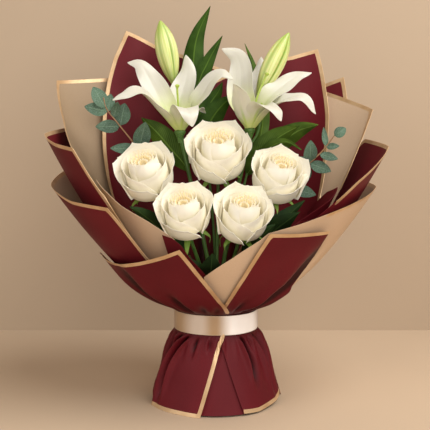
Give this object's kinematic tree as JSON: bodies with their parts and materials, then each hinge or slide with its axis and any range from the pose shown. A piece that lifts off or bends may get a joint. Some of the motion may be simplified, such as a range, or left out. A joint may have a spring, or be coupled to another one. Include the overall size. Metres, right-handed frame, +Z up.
{
  "type": "mixed flower bouquet",
  "caption": "Hand-tied bouquet of ivory roses, white lilies, lily buds and mixed foliage, wrapped in layered burgundy and cream sheets with gold borders and a champagne satin ribbon.",
  "frame": {"origin": "on the table, under the middle of the bouquet's whole outline seen from above", "axes": "+Z up along the stems; +X to the right of someone facing the open front; +Y towards the tall sheets at the back"},
  "size_m": [0.446, 0.2854, 0.5381],
  "materials": {
    "wrap_burgundy": "smooth matte wrapping sheet, burgundy, with a narrow gold border",
    "wrap_cream": "smooth matte wrapping sheet, cream to tan, with a narrow gold border",
    "ribbon_satin": "champagne satin with a soft sheen across its weave",
    "twine": "rough natural twine, tightly wound",
    "rose_petal": "soft ivory petals, satin matte, golden towards the heart",
    "lily_tepal": "waxy white tepals with a green midrib and throat",
    "lily_bud": "waxy yellow-green, grooved along its length",
    "green_stem": "smooth living green stem",
    "leaf": "dark green leaf, waxy above and paler below, with raised veins",
    "eucalyptus": "grey-green leaf with a powdery bloom"
  },
  "bodies": {
    "root": {"wrap_front_left": "wrap_burgundy", "wrap_front_right": "wrap_burgundy", "wrap_low_left": "wrap_burgundy", "wrap_cream_front_right": "wrap_cream", "wrap_mid_left": "wrap_burgundy", "wrap_mid_right": "wrap_burgundy", "wrap_inner_front": "wrap_burgundy", "wrap_cream_left": "wrap_cream", "wrap_far_right": "wrap_burgundy", "wrap_cream_front_left": "wrap_cream", "wrap_cream_right": "wrap_cream", "wrap_back_left": "wrap_burgundy", "wrap_back_right": "wrap_burgundy", "wrap_inner_right": "wrap_burgundy", "wrap_rear_left": "wrap_burgundy", "wrap_rear_right": "wrap_burgundy", "ribbon_band": "ribbon_satin", "stem_tie": "twine", "inner_cuff": "wrap_cream", "rose_1_bloom": "rose_petal", "rose_1_stem": "green_stem", "rose_2_bloom": "rose_petal", "rose_2_stem": "green_stem", "rose_3_bloom": "rose_petal", "rose_3_stem": "green_stem", "rose_4_bloom": "rose_petal", "rose_4_stem": "green_stem", "rose_5_bloom": "rose_petal", "rose_5_stem": "green_stem", "lily_1_tepal_1": "lily_tepal", "lily_1_tepal_2": "lily_tepal", "lily_1_tepal_3": "lily_tepal", "lily_1_tepal_4": "lily_tepal", "lily_1_tepal_5": "lily_tepal", "lily_1_tepal_6": "lily_tepal", "lily_1_stem": "green_stem", "lily_2_tepal_1": "lily_tepal", "lily_2_tepal_2": "lily_tepal", "lily_2_tepal_3": "lily_tepal", "lily_2_tepal_4": "lily_tepal", "lily_2_tepal_5": "lily_tepal", "lily_2_tepal_6": "lily_tepal", "lily_2_stem": "green_stem", "lily_bud_1": "lily_bud", "lily_bud_2": "lily_bud", "foliage_back": "leaf", "foliage_right": "leaf", "foliage_left": "leaf", "rose_leaf_left": "leaf", "rose_leaf_right": "leaf", "rose_leaf_front": "leaf", "eucalyptus_left": "eucalyptus", "eucalyptus_right": "eucalyptus"}
  },
  "joints": []
}
